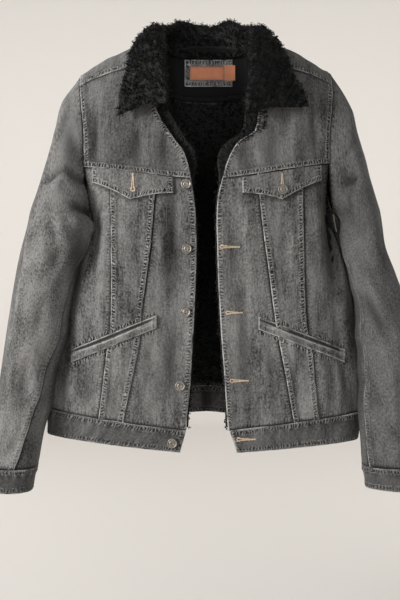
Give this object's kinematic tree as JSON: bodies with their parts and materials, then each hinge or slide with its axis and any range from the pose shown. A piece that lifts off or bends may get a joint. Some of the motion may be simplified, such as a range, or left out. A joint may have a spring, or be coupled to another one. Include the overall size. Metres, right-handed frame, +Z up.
{
  "type": "sherpa lined jacket",
  "caption": "Open-hanging denim trucker jacket with a turned-down sherpa collar and sherpa lining, hollow inside.",
  "frame": {"origin": "middle of the back neck seam, inside, where the jacket is held up", "axes": "+Z up the hanging jacket; +X towards its left front as worn, which is to the right of someone facing it; fronts face -Y"},
  "size_m": [0.75, 0.1881, 0.8127],
  "materials": {
    "denim": "washed grey twill",
    "band_denim": "washed grey twill, darker",
    "sherpa": "curly black pile",
    "facing": "smooth black twill",
    "woven_label": "woven copper brown",
    "shank_metal": "worn antique nickel"
  },
  "bodies": {
    "root": {"front_yoke_left": "denim", "front_yoke_right": "denim", "front_centre_left": "denim", "front_centre_right": "denim", "front_strip_left": "denim", "front_strip_right": "denim", "front_side_left": "denim", "front_side_right": "denim", "back_yoke": "denim", "back_centre": "denim", "back_side_left": "denim", "back_side_right": "denim", "waistband_left": "band_denim", "waistband_right": "band_denim", "lining_front_left": "sherpa", "lining_front_right": "sherpa", "lining_back": "sherpa", "neck_facing": "facing", "facing_piping": "facing", "label_patch": "denim", "label": "woven_label", "size_tab": "woven_label", "pocket_flap_left": "denim", "pocket_flap_right": "denim", "welt_left": "denim", "welt_right": "denim", "sleeve_top_left": "denim", "sleeve_top_right": "denim", "sleeve_under_left": "denim", "sleeve_under_right": "denim", "cuff_left": "band_denim", "cuff_right": "band_denim", "collar_sherpa": "sherpa", "collar_under": "denim", "button_1": "shank_metal", "button_2": "shank_metal", "button_3": "shank_metal", "button_4": "shank_metal", "button_5": "shank_metal", "flap_button_right": "shank_metal"}
  },
  "joints": []
}
